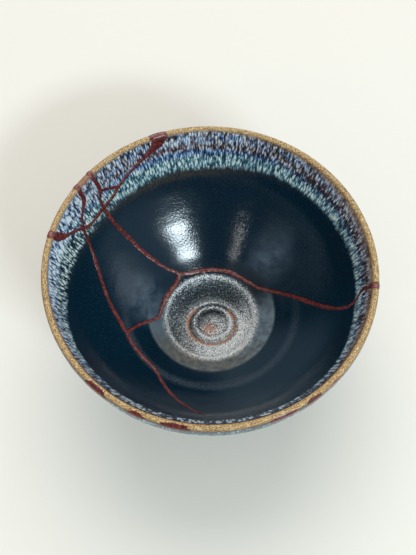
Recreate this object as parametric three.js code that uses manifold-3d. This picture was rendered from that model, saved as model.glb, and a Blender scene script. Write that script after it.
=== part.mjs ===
// A thrown stoneware bowl that broke into sherds and was mended with red-brown lacquer.
// Millimetres, +Z up, origin at the centre of the foot ring's underside.
// Azimuths are in degrees, anticlockwise from +X as seen from above.

import * as THREE from "three";
import { mergeVertices } from "three/addons/utils/BufferGeometryUtils.js";
import Module from "manifold-3d";

const wasm = await Module();
wasm.setup();

// Driving dimensions
const BOWL_HEIGHT = 74;
const RIM_RADIUS = 75;
const LIP_THICKNESS = 3;
const FOOT_RADIUS = 29;
const FOOT_HEIGHT = 6;
const FOOT_RING_WIDTH = 4.6;
const FOOT_RECESS = 3.4;
const FOOT_CHAMFER = 0.8;
const FLOOR_HEIGHT = 7.6;
const JOINT_GAP = 0.3;
const LACQUER_RISE = 0.3;
const LIP_RUN = 2; // round the lip, from its crown to the top of the inside wall
const SEAM_FOOT_RUN = 84; // down the inside curve, the run that matches the top of the foot outside
const SEAM_LOWEST = 0.95; // of the way down the outside: no crack runs into the foot

// How finely the curves are stepped
const TURN_STEPS = 52;
const INSIDE_STEPS = 8;
const OUTSIDE_STEPS = 8;
const LIP_STEPS = 4;
const SEAM_STEP_LENGTH = 8.5;
const CHIP_STEPS = [8, 6];
const SEAM_REACH = 2.5; // how far a seam's cutter stands past both faces of the wall
const PAST_LIP = -5; // a crack that comes out at the rim is cut on past the top of the lip

// The throwing rings that the fingers left on the floor: a ridge at each radius
const THROWING_RINGS = [
  { radius: 23.4, rise: 0.9, spread: 1.6 },
  { radius: 11.6, rise: 0.8, spread: 1.3 },
  { radius: 0, rise: 0.6, spread: 2.4 },
];
const RING_STOPS = [27, 23.4, 20.5, 14, 11.6, 9.2, 4];

// The wall's inside, from the lip to the floor, as [radius, height]
const INSIDE_WALL = [
  [RIM_RADIUS - LIP_THICKNESS, BOWL_HEIGHT - LIP_THICKNESS / 2],
  [69.6, 65.5],
  [65.9, 56.2],
  [59.6, 45.4],
  [47.5, 32.4],
  [32.5, 20.2],
];

// The floor inside the crease, before its rings
const FLOOR_DISH = [
  [32.5, 20.2],
  [23.4, 12.4],
  [14, 8.6],
  [0, FLOOR_HEIGHT],
];

// The wall's outside, from the lip to the top of the foot
const OUTSIDE_WALL = [
  [RIM_RADIUS, BOWL_HEIGHT - LIP_THICKNESS / 2],
  [75.1, 69.2],
  [74.2, 63.5],
  [70.7, 54.3],
  [63.6, 42.3],
  [51, 28.6],
  [36.5, 15.1],
  [31.4, 9.6],
  [FOOT_RADIUS + 0.8, FOOT_HEIGHT],
];

// The cracks, as [azimuth, distance down the inside from the lip's crown, width of the lacquer]
const LEFT_FORK = [142.5, 21.6, 2];
const LEFT_CROSSING = [155.9, 18.9, 1.9];
const WELL_FORK = [126.5, 76, 1.7];
const NEAR_FORK = [201, 55.4, 1.4];
const RUNG_TOP = [140.2, 12.3, 2];
const RUNG_FOOT = [132.4, 17.8, 1.9];
const SEAMS = {
  backLeft: [[110.4, PAST_LIP, 8.2], [110.7, 2.6, 8.4], [112.6, 6.1, 4.8], [117, 9.4, 2.1], RUNG_FOOT,
    [136.5, 20.4, 1.4], LEFT_FORK],
  left: [[140.4, PAST_LIP, 3.4], [140.4, 4, 2], [139.9, 8.5, 2.6], RUNG_TOP, [142, 16.5, 1.5], LEFT_FORK],
  rung: [RUNG_TOP, [136.8, 14.6, 1.4], RUNG_FOOT],
  leftToWell: [LEFT_FORK, [142.6, 32, 2.1], [141.4, 45, 2.5], [136.5, 66.6, 1.7], WELL_FORK],
  wellToRight: [WELL_FORK, [112, 78.2, 1.9], [72, 78, 1.8], [42.8, 77, 1.6], [28.8, 74, 1.6],
    [12.7, 63.2, 1.8], [-0.2, 48, 2.1], [-6.8, 36, 1.8], [-9.8, 22.5, 1.7], [-8.6, 16.4, 1.6],
    [-5.8, 11, 1.7], [-6.3, 5.7, 2.1], [-7.4, PAST_LIP, 3.4]],
  wellRound: [WELL_FORK, [135.4, 78.8, 1.9], [171, 78.8, 1.7], [184, 76.7, 1.6], [190.5, 70.6, 1.4],
    [193.5, 65.8, 1.5], NEAR_FORK],
  bridge: [LEFT_FORK, [148.3, 22, 1.4], [153.5, 21.2, 1.5], LEFT_CROSSING],
  leftOuter: [[147.6, PAST_LIP, 3.2], [147.9, 3.3, 2], [148.4, 8.6, 2.8], [152.2, 12.8, 1.6],
    LEFT_CROSSING],
  leftEnd: [[169.2, PAST_LIP, 3.9], [168.2, 4, 3.9], [166, 8.2, 3.6], [162.3, 12.7, 1.7], LEFT_CROSSING],
  leftToNear: [LEFT_CROSSING, [160.4, 30, 1.6], [165, 36, 2], [172.1, 42.4, 1.8], [191.6, 52.9, 1.6],
    NEAR_FORK],
  dyingOut: [NEAR_FORK, [221.6, 56.6, 1.7], [233, 56, 1.5], [244.7, 49.3, 1.4], [257.4, 39.1, 1.3],
    [268.6, 29.4, 0.5]],
};

// One spot on each sherd, as [azimuth, distance down the inside]
const SHERDS = {
  main_sherd: [300, 40],
  back_sherd: [50, 40],
  left_wall_sherd: [165, 62],
  rim_sherd_back_left: [125, 5],
  triangle_sherd: [138, 17.6],
  rim_sherd_narrow: [144.5, 12],
  rim_sherd_left: [160, 6],
};

// The chips in the lip's outer edge that are made up in lacquer, as azimuths and the depth of the bite
const CHIPS = {
  chip_fill_left: { from: 226, to: 235.4, depth: 2 },
  chip_fill_near_left: { from: 243.7, to: 249.5, depth: 1.5 },
  chip_fill_near: { from: 254.9, to: 264.5, depth: 1.9 },
  chip_fill_near_right: { from: 289.2, to: 299.8, depth: 0.9 },
  chip_fill_right: { from: 303, to: 308.8, depth: 1.3 },
};
const CHIP_HEIGHT = 2.1;

// Colours of the glazed clay and of the lacquer
const GLAZE_COLOUR = 0x14212c;
const LACQUER_COLOUR = 0x6a2a26;

const radians = THREE.MathUtils.degToRad;

// A smooth curve in the (radius, height) plane
const wallCurve = (points) => new THREE.SplineCurve(points.map(([r, z]) => new THREE.Vector2(r, z)));
const inside = wallCurve(INSIDE_WALL.concat(FLOOR_DISH.slice(1)));
const outside = wallCurve(OUTSIDE_WALL);
const insideLength = inside.getLength();

// What the throwing rings add to the floor's height
function ringRise(radius) {
  return THROWING_RINGS.reduce(
    (sum, ring) => sum + ring.rise * Math.exp(-(((radius - ring.radius) / ring.spread) ** 2)),
    0,
  );
}

// The floor's profile, from the crease to the middle
function floorPoints() {
  const dish = wallCurve(FLOOR_DISH);
  const heights = dish.getPoints(200).reverse();
  const heightAt = (radius) => heights.find((point) => point.x >= radius).y;
  return [...RING_STOPS, 0].map((radius) => new THREE.Vector2(radius, heightAt(radius) + ringRise(radius)));
}

// The rounded lip, between its outer and its inner edge
function lipPoints() {
  const radius = LIP_THICKNESS / 2;
  return Array.from({ length: LIP_STEPS - 1 }, (_, i) => {
    const angle = (Math.PI * (i + 1)) / LIP_STEPS;
    return new THREE.Vector2(
      RIM_RADIUS - radius + radius * Math.cos(angle),
      BOWL_HEIGHT - radius + radius * Math.sin(angle),
    );
  });
}

// The foot's recess and the foot ring, from the axis outwards
function footPoints() {
  const inner = FOOT_RADIUS - FOOT_RING_WIDTH;
  return [
    [0, FOOT_RECESS],
    [inner - FOOT_CHAMFER, FOOT_RECESS],
    [inner, 0],
    [FOOT_RADIUS - FOOT_CHAMFER, 0],
    [FOOT_RADIUS, FOOT_CHAMFER],
  ].map(([r, z]) => new THREE.Vector2(r, z));
}

// The whole profile, from the foot's middle round the outside and the lip to the floor's middle
function bowlProfile() {
  const innerWall = wallCurve(INSIDE_WALL).getSpacedPoints(INSIDE_STEPS);
  const outerWall = outside.getSpacedPoints(OUTSIDE_STEPS);
  return [...footPoints(), ...outerWall.reverse(), ...lipPoints(), ...innerWall, ...floorPoints()];
}

// A closed profile moved outwards by a distance, its two ends kept on the axis
function grownProfile(profile, distance) {
  return profile.map((point, i) => {
    const before = profile[Math.max(i - 1, 0)];
    const after = profile[Math.min(i + 1, profile.length - 1)];
    const along = after.clone().sub(before).normalize();
    const moved = point.clone().add(new THREE.Vector2(along.y, -along.x).multiplyScalar(distance));
    return point.x === 0 ? new THREE.Vector2(0, moved.y) : moved;
  });
}

// A three.js geometry as a solid for joining and cutting
function solidFrom(geometry) {
  const bare = geometry.clone();
  bare.deleteAttribute("normal");
  bare.deleteAttribute("uv");
  const merged = mergeVertices(bare, 1e-4);
  return new wasm.Manifold(
    new wasm.Mesh({
      numProp: 3,
      vertProperties: merged.attributes.position.array,
      triVerts: new Uint32Array(merged.index.array),
    }),
  );
}

// A solid as a named mesh
function meshFrom(name, solid, material) {
  const { vertProperties, triVerts } = solid.getMesh();
  const geometry = new THREE.BufferGeometry();
  geometry.setAttribute("position", new THREE.BufferAttribute(vertProperties, 3));
  geometry.setIndex(new THREE.BufferAttribute(triVerts, 1));
  geometry.computeVertexNormals();
  const mesh = new THREE.Mesh(geometry, material);
  mesh.name = name;
  return mesh;
}

// A profile turned about the Z axis
function turned(profile) {
  return solidFrom(new THREE.LatheGeometry(profile, TURN_STEPS).rotateX(Math.PI / 2));
}

// A point of the wall at an azimuth: through runs from 0, just clear of the inside face, to 1, just
// clear of the outside face
function wallPoint(azimuth, depth, through) {
  const run = depth - LIP_RUN;
  const inner = inside.getPointAt(THREE.MathUtils.clamp(run / insideLength, 0, 1));
  const outer = outside.getPointAt(THREE.MathUtils.clamp(run / SEAM_FOOT_RUN, 0, SEAM_LOWEST));
  const reach = SEAM_REACH / inner.distanceTo(outer);
  const point = inner.clone().lerp(outer, through + reach * (2 * through - 1));
  point.y += Math.max(0, -run);
  const angle = radians(azimuth);
  return new THREE.Vector3(point.x * Math.cos(angle), point.x * Math.sin(angle), point.y);
}

// Where along a route, from 0 to 1, it is stepped: at each stop, and between stops that are far apart
function routeSteps(route) {
  const stretches = route.length - 1;
  const spots = route.map(([azimuth, depth]) => wallPoint(azimuth, depth, 0.5));
  const steps = spots.slice(1).flatMap((spot, i) => {
    const parts = Math.ceil(spot.distanceTo(spots[i]) / SEAM_STEP_LENGTH);
    return Array.from({ length: parts }, (_, part) => (i + (part + 1) / parts) / stretches);
  });
  return [0, ...steps];
}

// The solid that a crack's lacquer fills: a bar bent along its route, through the wall and past both faces
function seamBar(route, extraWidth) {
  const stops = route.map((stop) => new THREE.Vector3(...stop));
  const path = new THREE.CatmullRomCurve3(stops, false, "centripetal");
  const along = (t) => path.getPoint(THREE.MathUtils.clamp(t, 0, 1));
  const spot = (at, through) => wallPoint(at.x, at.y, through);
  const endOf = (t) => (t > 0.999) - (t < 0.001); // the ends run on by half a width, so that forks close
  const steps = routeSteps(route);
  const bar = new THREE.BoxGeometry(steps.length - 1, 1, 1, steps.length - 1, 1, 1);
  const position = bar.attributes.position;
  for (let i = 0; i < position.count; i++) {
    const t = steps[Math.round(position.getX(i) + (steps.length - 1) / 2)];
    const through = position.getZ(i) + 0.5;
    const here = along(t);
    const point = spot(here, through);
    const forward = spot(along(t + 0.01), 0.5).sub(spot(along(t - 0.01), 0.5)).normalize();
    const across = spot(here, 1).sub(spot(here, 0));
    const side = across.cross(forward).normalize();
    const width = here.z + 2 * extraWidth;
    point.addScaledVector(side, position.getY(i) * width);
    point.addScaledVector(forward, endOf(t) * (width / 2));
    position.setXYZ(i, point.x, point.y, point.z);
  }
  return solidFrom(bar);
}

// All the seams' bars as one solid
function seamBars(extraWidth) {
  return Object.values(SEAMS)
    .map((route) => seamBar(route, extraWidth))
    .reduce((all, bar) => all.add(bar));
}

// The bite that a chip leaves in the lip's outer edge
function chipBite({ from, to, depth }, extra) {
  const halfLength = (RIM_RADIUS * radians(to - from)) / 2;
  const bite = new THREE.SphereGeometry(1, ...CHIP_STEPS);
  bite.scale(depth + extra, halfLength + extra, CHIP_HEIGHT + extra);
  bite.translate(RIM_RADIUS, 0, BOWL_HEIGHT - LIP_THICKNESS / 4);
  bite.rotateZ(radians((from + to) / 2));
  return solidFrom(bite);
}

const material = (color, roughness) => new THREE.MeshStandardMaterial({ color, roughness, metalness: 0 });

const profile = bowlProfile();
const bowl = turned(profile);
const lacquerLimit = turned(grownProfile(profile, LACQUER_RISE));
const chipped = Object.values(CHIPS).reduce((body, chip) => body.subtract(chipBite(chip, JOINT_GAP)), bowl);
const pieces = chipped.subtract(seamBars(JOINT_GAP)).decompose();

// The piece of the broken bowl that holds a spot in the middle of the wall
function sherdAt(azimuth, depth) {
  const spot = wallPoint(azimuth, depth, 0.5);
  const probe = solidFrom(new THREE.SphereGeometry(JOINT_GAP, 8, 6).translate(spot.x, spot.y, spot.z));
  return pieces.find((piece) => piece.intersect(probe).volume() > 0);
}

const brokenBowl = new THREE.Group();
for (const [name, spot] of Object.entries(SHERDS)) {
  brokenBowl.add(meshFrom(name, sherdAt(...spot), material(GLAZE_COLOUR, 0.25)));
}
brokenBowl.add(
  meshFrom("lacquer_seams", seamBars(0).intersect(lacquerLimit), material(LACQUER_COLOUR, 0.35)),
);
for (const [name, chip] of Object.entries(CHIPS)) {
  const fill = chipBite(chip, 0).intersect(lacquerLimit);
  brokenBowl.add(meshFrom(name, fill, material(LACQUER_COLOUR, 0.35)));
}

export default brokenBowl;
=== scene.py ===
"""A thrown stoneware bowl, broken into seven sherds and mended with red-brown lacquer.

Lengths in the making are millimetres; meshes are written in metres. An azimuth is in degrees,
anticlockwise from +X as seen from above. A run is a distance along the wall from the lip's crown:
positive down the inside, negative down the outside.
"""
import math

import bmesh
import bpy
import numpy as np
from mathutils import Matrix, Vector


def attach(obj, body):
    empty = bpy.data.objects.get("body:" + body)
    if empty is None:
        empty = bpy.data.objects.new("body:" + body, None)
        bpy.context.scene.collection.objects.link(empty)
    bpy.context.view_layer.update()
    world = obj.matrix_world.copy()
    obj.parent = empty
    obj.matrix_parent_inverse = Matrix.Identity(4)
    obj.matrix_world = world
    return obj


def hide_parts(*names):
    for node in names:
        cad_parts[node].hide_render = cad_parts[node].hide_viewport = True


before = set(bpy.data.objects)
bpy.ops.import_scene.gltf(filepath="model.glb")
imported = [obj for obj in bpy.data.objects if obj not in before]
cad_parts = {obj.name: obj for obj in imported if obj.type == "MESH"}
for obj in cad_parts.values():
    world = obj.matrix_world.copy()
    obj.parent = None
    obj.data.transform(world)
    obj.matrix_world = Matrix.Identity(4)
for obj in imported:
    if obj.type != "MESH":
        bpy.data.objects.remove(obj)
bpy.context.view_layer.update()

MM = 0.001

# The bowl's form, as turned: outlines are (radius, height)
BOWL_HEIGHT = 74.0
RIM_RADIUS = 75.0
LIP_RADIUS = 1.5
LIP_RUN = 2.0  # round the lip, from its crown to the top of the wall on either side
FOOT_RADIUS = 29.0
FOOT_HEIGHT = 6.0
FOOT_RING_WIDTH = 4.6
FOOT_RECESS = 3.4
CREASE_RADIUS = 32.5  # where the wall meets the floor
CREASE_HEIGHT = 20.2
INSIDE_WALL = [
    (RIM_RADIUS - 2 * LIP_RADIUS, BOWL_HEIGHT - LIP_RADIUS), (69.6, 65.5), (65.9, 56.2), (59.6, 45.4),
    (47.5, 32.4), (CREASE_RADIUS, CREASE_HEIGHT),
]
FLOOR_DISH = [(23.4, 12.4), (14.0, 8.6), (0.0, 7.6)]
OUTSIDE_WALL = [
    (RIM_RADIUS, BOWL_HEIGHT - LIP_RADIUS), (75.1, 69.2), (74.2, 63.5), (70.7, 54.3), (63.6, 42.3),
    (51.0, 28.6), (36.5, 15.1), (31.4, 9.6), (FOOT_RADIUS + 0.8, FOOT_HEIGHT),
]

# The rings that the fingers left on the floor, a little off the rim's middle and out of round
FLOOR_SHIFT = 1.2
FLOOR_RINGS = [
    {"centre": (0.9, -0.2), "radius": 23.2, "squash": 1.0, "rise": 0.9, "spread": 1.8, "grit": 0.16},
    {"centre": (2.4, -3.4), "radius": 13.4, "squash": 1.10, "rise": 0.9, "spread": 1.5, "grit": 0.07},
    {"centre": (2.1, -2.0), "radius": 8.8, "squash": 1.06, "rise": 0.8, "spread": 1.3, "grit": 0.07},
    {"centre": (2.0, -1.6), "radius": 0.0, "squash": 1.0, "rise": 0.7, "spread": 2.2, "grit": 0.10},
]

# The low spiral rings of the throwing, as (rise, pitch, hand, start)
INSIDE_MARKS = [(0.006, 8.3, 1, 0), (0.004, 5.1, -1, 1)]
OUTSIDE_MARKS = [(0.12, 6.7, 1, 0), (0.07, 4.3, -1, 2)]

# The runs from the lip over which the marks set in, and the rim's swell and lift die away
MARKS_SET_IN = (2.5, 9)
SWELL_DIES_AWAY = (4, 50)
LIFT_DIES_AWAY = (2, 14)

# A faint ridge low on the near wall, at an azimuth and with a spread round the bowl
RIDGE_AT = (262, 46)
RIDGE_ABOVE_CREASE = 11.6
RIDGE_SPREAD = 2.2
RIDGE_RISE = 0.28

# The cracks, as (azimuth, run down the inside, width of the lacquer)
LEFT_FORK = (142.5, 21.6, 2.0)
LEFT_CROSSING = (155.9, 18.9, 1.9)
WELL_FORK = (126.5, 76.0, 1.7)
NEAR_FORK = (201.0, 55.4, 1.4)
RUNG_TOP = (140.2, 12.3, 2.0)
RUNG_FOOT = (132.4, 17.8, 1.9)
SEAMS = {
    "back_left": [
        (110.3, 0.0, 8.2), (110.6, 2.6, 8.4), (111.7, 5.0, 6.2), (113.8, 7.2, 3.8), (117.0, 9.4, 2.2),
        (121.0, 11.7, 1.6), RUNG_FOOT, (136.5, 20.4, 1.4), LEFT_FORK,
    ],
    "left": [
        (140.4, 0.0, 3.4), (140.4, 4.0, 2.0), (139.9, 8.5, 2.6), RUNG_TOP, (142.0, 16.5, 1.5), LEFT_FORK,
    ],
    "rung": [RUNG_TOP, (136.8, 14.6, 1.4), RUNG_FOOT],
    "left_to_well": [
        LEFT_FORK, (142.6, 32.0, 2.1), (141.4, 45.0, 2.5), (140.5, 54.0, 2.2), (136.5, 66.6, 1.7), WELL_FORK,
    ],
    "well_to_right": [
        WELL_FORK, (112.0, 78.2, 1.9), (72.0, 78.0, 1.8), (42.8, 77.0, 1.6), (28.8, 74.0, 1.6),
        (12.7, 63.2, 1.8), (-0.2, 48.0, 2.1), (-6.8, 36.0, 1.8), (-9.8, 22.5, 1.7), (-8.6, 16.4, 1.6),
        (-5.8, 11.0, 1.7), (-6.3, 5.7, 2.1), (-7.2, 0.0, 3.4),
    ],
    "well_round": [
        WELL_FORK, (135.4, 78.8, 1.9), (171.0, 78.8, 1.7), (184.0, 76.7, 1.6), (190.5, 70.6, 1.4),
        (193.5, 65.8, 1.5), NEAR_FORK,
    ],
    "bridge": [LEFT_FORK, (148.3, 22.0, 1.4), (153.5, 21.2, 1.5), LEFT_CROSSING],
    "left_outer": [
        (147.6, 0.0, 3.2), (147.9, 3.3, 2.6), (148.4, 8.6, 3.0), (152.2, 12.8, 1.6), LEFT_CROSSING,
    ],
    "left_end": [
        (169.0, 0.0, 3.9), (168.2, 3.4, 3.8), (166.4, 7.2, 4.2), (164.9, 10.0, 2.6), (162.2, 12.7, 1.6),
        LEFT_CROSSING,
    ],
    "left_to_near": [
        LEFT_CROSSING, (160.4, 30.0, 1.7), (165.0, 36.0, 2.3), (172.1, 42.4, 1.8), (191.6, 52.9, 1.6),
        NEAR_FORK,
    ],
    "dying_out": [
        NEAR_FORK, (221.6, 56.6, 1.7), (233.0, 56.0, 1.5), (244.7, 49.3, 1.4), (257.4, 39.1, 1.3),
        (268.6, 29.4, 0.5),
    ],
}
SEAM_FOOT_RUN = 84.0  # down the inside, the run that lies opposite the top of the foot
SEAM_LOWEST = 0.95  # of the way down the outside: no crack runs into the foot
SEAM_RISE = 0.26
SEAM_SUNK = 0.05
SEAM_LAP = 0.1  # how far the lacquer reaches into the sherd on each side of a crack
CUTTER_REACH = 1.5  # how far the shape that parts the sherds stands out of the wall
THINNEST_HALF = 0.1  # the least half width of a seam
AT_LIP = 0.01  # a crack whose end has a run below this comes out at the rim

# The chips in the lip's outer edge, as (first azimuth, last azimuth, depth of the bite)
CHIPS = {
    "chip_fill_left": (226.0, 235.4, 2.0),
    "chip_fill_near_left": (243.7, 249.5, 1.5),
    "chip_fill_near": (254.9, 264.5, 1.9),
    "chip_fill_near_right": (289.2, 299.8, 0.9),
    "chip_fill_right": (303.0, 308.8, 1.3),
}
CHIP_HALF_HEIGHT = 2.1
CHIP_PROUD = 0.14
FILL_MARGIN = 2  # degrees that a fill's blank runs on past its chip
FILL_RUNS = (4.5, -6.5)  # where a fill's blank starts inside and ends outside
FILL_DEPTH = 1.0

# One spot on each sherd, as (azimuth, run down the inside)
SHERDS = {
    "main_sherd": (300, 40),
    "back_sherd": (50, 40),
    "left_wall_sherd": (165, 62),
    "rim_sherd_back_left": (125, 5),
    "triangle_sherd": (138, 17.6),
    "rim_sherd_narrow": (144.5, 12),
    "rim_sherd_left": (160, 6),
}

# Where the pale rim glaze ends on the inside, as azimuth: run
BAND_EDGE = {
    0: 17.5, 30: 19.0, 50: 20.5, 70: 22.0, 90: 25.5, 110: 25.5, 130: 27.0, 145: 27.0, 155: 26.5,
    165: 25.0, 175: 22.5, 189: 20.0, 200: 16.5, 215: 14.0, 230: 15.5, 255: 19.0, 285: 18.0,
    300: 15.0, 313: 12.0, 325: 13.0, 340: 16.0, 350: 17.5,
}

# Where round the bowl the glaze differs, as (azimuth, spread)
STREAKY_LEFT = (175, 30)
BROWN_BACK = (108, 42)
NEAR_SIDE = (272, 60)
RIGHT_SIDE = (5, 55)
WORN_LIP_TOP = (144, 4.2)
WORN_LIP_EDGE = (144, 5.5)
RED_TOUCH_RIGHT = (31.5, 2.4)
RED_TOUCH_NEAR = (315.3, 1.7)

# How finely the meshes are stepped
TURN_STEPS = 480
FLOOR_STEPS = 74
WALL_STEPS = 62
LIP_STEPS = 19
OUTER_STEPS = 84
CURVE_STEPS = 40
ROUTE_STEPS = 60
SEAM_STEP = 0.7
SEAM_ROWS = 9
BITE_RINGS = 22
BITE_TURNS = 36
FILL_ROWS = 34
FILL_STEP = 0.35  # degrees
WAVE_COUNT = 28


# Curves and the wall's shape


def cubic(start, end, leaving, arriving, along):
    """The curve from start to end with the given slopes there, at shares of the way along."""
    return (
        (2 * start - 2 * end + leaving + arriving) * along**3
        + (3 * end - 3 * start - 2 * leaving - arriving) * along**2
        + leaving * along
        + start
    )


def smooth_curve(outline):
    """A smooth curve through the points of an outline, as closely spaced points."""
    stops = np.array(outline, float)
    last = len(stops) - 1
    along = np.linspace(0, 1, CURVE_STEPS, endpoint=False)[:, None]
    spans = []
    for i in range(last):
        before, start, end, after = stops[max(i - 1, 0)], stops[i], stops[i + 1], stops[min(i + 2, last)]
        spans.append(cubic(start, end, (end - before) / 2, (after - start) / 2, along))
    return np.vstack([*spans, stops[-1:]])


def lengths(curve):
    """How far along a flat curve each of its points lies."""
    return np.r_[0, np.cumsum(np.hypot(*np.diff(curve, axis=0).T))]


INSIDE = smooth_curve(INSIDE_WALL + FLOOR_DISH)
OUTSIDE = smooth_curve(OUTSIDE_WALL)
INSIDE_RUNS = lengths(INSIDE) + LIP_RUN
OUTSIDE_RUNS = lengths(OUTSIDE) + LIP_RUN
DEEPEST_RUN = INSIDE_RUNS[-1]
FOOT_RUN = OUTSIDE_RUNS[-1]
CREASE_RUN = float(np.interp(-CREASE_RADIUS, -INSIDE[:, 0], INSIDE_RUNS))


def waves(points, length, seed):
    """A smooth random field over points in space, about -1 to 1, with bumps of the given length."""
    rng = np.random.default_rng(seed)
    ways = rng.normal(size=(WAVE_COUNT, 3))
    pace = (2 * math.pi / length) * rng.uniform(0.7, 1.3, (WAVE_COUNT, 1))
    ways *= pace / np.linalg.norm(ways, axis=1)[:, None]
    phases = rng.uniform(0, 2 * math.pi, WAVE_COUNT)
    total = np.zeros(points.shape[:-1])
    for way, phase in zip(ways, phases):
        total += np.cos(points @ way + phase)
    return total / math.sqrt(WAVE_COUNT / 2)


def smooth(value, low, high):
    """0 below low, 1 above high and smooth between."""
    share = np.clip((value - low) / (high - low), 0, 1)
    return share * share * (3 - 2 * share)


def bump_at(azimuth, middle, spread):
    """1 at the middle azimuth, falling away on both sides of it."""
    off = (azimuth - middle + 180) % 360 - 180
    return np.exp(-((off / spread) ** 2))


def turned_profile(run):
    """Radius and height of the plain turned wall at signed runs."""
    run = np.asarray(run, float)
    turn = np.clip(run / LIP_RUN, -1, 1) * (math.pi / 2)
    radius = RIM_RADIUS - LIP_RADIUS - LIP_RADIUS * np.sin(turn)
    height = BOWL_HEIGHT - LIP_RADIUS + LIP_RADIUS * np.cos(turn)
    for side, curve, runs in ((1, INSIDE, INSIDE_RUNS), (-1, OUTSIDE, OUTSIDE_RUNS)):
        past_lip = run * side > LIP_RUN
        radius = np.where(past_lip, np.interp(run * side, runs, curve[:, 0]), radius)
        height = np.where(past_lip, np.interp(run * side, runs, curve[:, 1]), height)
    return radius, height


def floor_rise(x, y):
    """What the throwing rings add to the floor's height."""
    spots = np.stack([x, y, np.zeros_like(x)], -1)
    rise = np.zeros_like(x)
    for ring in FLOOR_RINGS:
        middle_x, middle_y = ring["centre"]
        distance = np.hypot(x - middle_x, (y - middle_y) * ring["squash"])
        off = (distance - ring["radius"]) / ring["spread"]
        uneven = ring["grit"] * waves(spots, 1.7, 11)
        rise += np.exp(-off * off) * (ring["rise"] + uneven + 0.12 * waves(spots, 9, 12))
    return rise


def spirals(azimuth, run, marks):
    """Rings that wind round the wall once in each pitch, one way or the other."""
    return sum(
        rise * np.cos(2 * math.pi * (run / pitch + hand * azimuth / 360) + start)
        for rise, pitch, hand, start in marks
    )


def throwing_marks(azimuth, run, points):
    """The low rings and unevenness that hands leave in a thrown wall, measured out of the clay."""
    rings = np.where(run > 0, spirals(azimuth, run, INSIDE_MARKS), spirals(azimuth, run, OUTSIDE_MARKS))
    off_lip = smooth(np.abs(run), *MARKS_SET_IN)
    above_crease = 1 - smooth(run, CREASE_RUN - 4, CREASE_RUN + 2)
    above_foot = 1 - smooth(-run, FOOT_RUN - 8, FOOT_RUN)
    fade = np.where(run > 0, above_crease, above_foot)
    hands = 0.05 * waves(points, 26, 3) + np.where(run > 0, 0.008, 0.03) * waves(points, 9, 4)
    from_ridge = (run - CREASE_RUN + RIDGE_ABOVE_CREASE) / RIDGE_SPREAD
    ridge = RIDGE_RISE * bump_at(azimuth, *RIDGE_AT) * np.exp(-(from_ridge**2))
    return off_lip * fade * (rings + hands) + ridge


def rim_swell(azimuth):
    """How far the rim stands out from a true circle."""
    a = np.radians(azimuth)
    return 0.2 + 0.32 * np.cos(a) + 0.43 * np.sin(a) + 0.12 * np.cos(2 * a) - 0.16 * np.sin(2 * a)


def rim_lift(azimuth):
    """How far the lip stands above the height it was turned to."""
    a = np.radians(azimuth)
    return 0.13 * np.cos(a * 2 + 0.6) + 0.09 * np.cos(a * 5 + 2) - 0.18


def wall(azimuth, run, proud=0.0):
    """Points of the finished wall at azimuths and signed runs, moved out of the clay by proud."""
    azimuth, run = np.broadcast_arrays(np.asarray(azimuth, float), np.asarray(run, float))
    radius, height = turned_profile(run)
    radius_after, height_after = turned_profile(run + 0.25)
    radius_before, height_before = turned_profile(run - 0.25)
    along_radius, along_height = radius_after - radius_before, height_after - height_before
    size = np.hypot(along_radius, along_height) + 1e-9
    angle = np.radians(azimuth)
    turned = np.stack([radius * np.cos(angle), radius * np.sin(angle), height], -1)
    out = throwing_marks(azimuth, run, turned) + proud
    swell = (1 - smooth(np.abs(run), *SWELL_DIES_AWAY)) * rim_swell(azimuth)
    radius = radius + along_height / size * out + swell
    height = height + -along_radius / size * out
    height = height + (1 - smooth(np.abs(run), *LIFT_DIES_AWAY)) * rim_lift(azimuth)
    x = radius * np.cos(angle) + FLOOR_SHIFT * smooth(run, CREASE_RUN - 25, CREASE_RUN)
    y = radius * np.sin(angle)
    height = height + np.where(run > CREASE_RUN - 6, floor_rise(x, y), 0)
    return np.stack([x, y, height], -1)


# Meshes


def mesh_object(name, points, faces):
    """An object from points in millimetres and faces as lists of corners."""
    mesh = bpy.data.meshes.new(name)
    mesh.from_pydata((np.asarray(points) * MM).tolist(), [], faces)
    mesh.validate()
    mesh.update()
    piece = bpy.data.objects.new(name, mesh)
    bpy.context.scene.collection.objects.link(piece)
    return piece


def tube_faces(rows, columns):
    """Faces of an open tube, its points numbered row by row and each row a closed ring."""
    faces = []
    for i in range(rows - 1):
        for j in range(columns):
            here, following = i * columns + j, i * columns + (j + 1) % columns
            faces.append((here, following, following + columns, here + columns))
    return faces


def bar_faces(rows, columns):
    """Faces of a tube with a flat cap on each end."""
    first_cap = tuple(range(columns))
    last_cap = tuple(range(rows * columns - 1, (rows - 1) * columns - 1, -1))
    return [*tube_faces(rows, columns), first_cap, last_cap]


def pointed_faces(rows, columns):
    """Faces of a tube that closes to a point at each end, the two points numbered last."""
    faces = tube_faces(rows, columns)
    first, last = rows * columns, rows * columns + 1
    last_row = (rows - 1) * columns
    for j in range(columns):
        following = (j + 1) % columns
        faces.append((first, following, j))
        faces.append((last, last_row + j, last_row + following))
    return faces


def face_outwards(piece):
    """Turns every face of a closed piece outwards."""
    mesh = bmesh.new()
    mesh.from_mesh(piece.data)
    bmesh.ops.recalc_face_normals(mesh, faces=mesh.faces)
    if mesh.calc_volume() < 0:
        bmesh.ops.reverse_faces(mesh, faces=mesh.faces)
    mesh.to_mesh(piece.data)
    mesh.free()
    piece.data.update()


def combine(piece, tool, operation):
    """Joins, cuts or intersects a closed piece with a second one, which is used up."""
    modifier = piece.modifiers.new("cut", "BOOLEAN")
    modifier.operation = operation
    modifier.object = tool
    modifier.solver = "MANIFOLD"
    graph = bpy.context.evaluated_depsgraph_get()
    made = bpy.data.meshes.new_from_object(piece.evaluated_get(graph))
    piece.modifiers.clear()
    uncut = piece.data
    piece.data = made
    bpy.data.meshes.remove(uncut)
    bpy.data.objects.remove(tool)
    return piece


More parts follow.
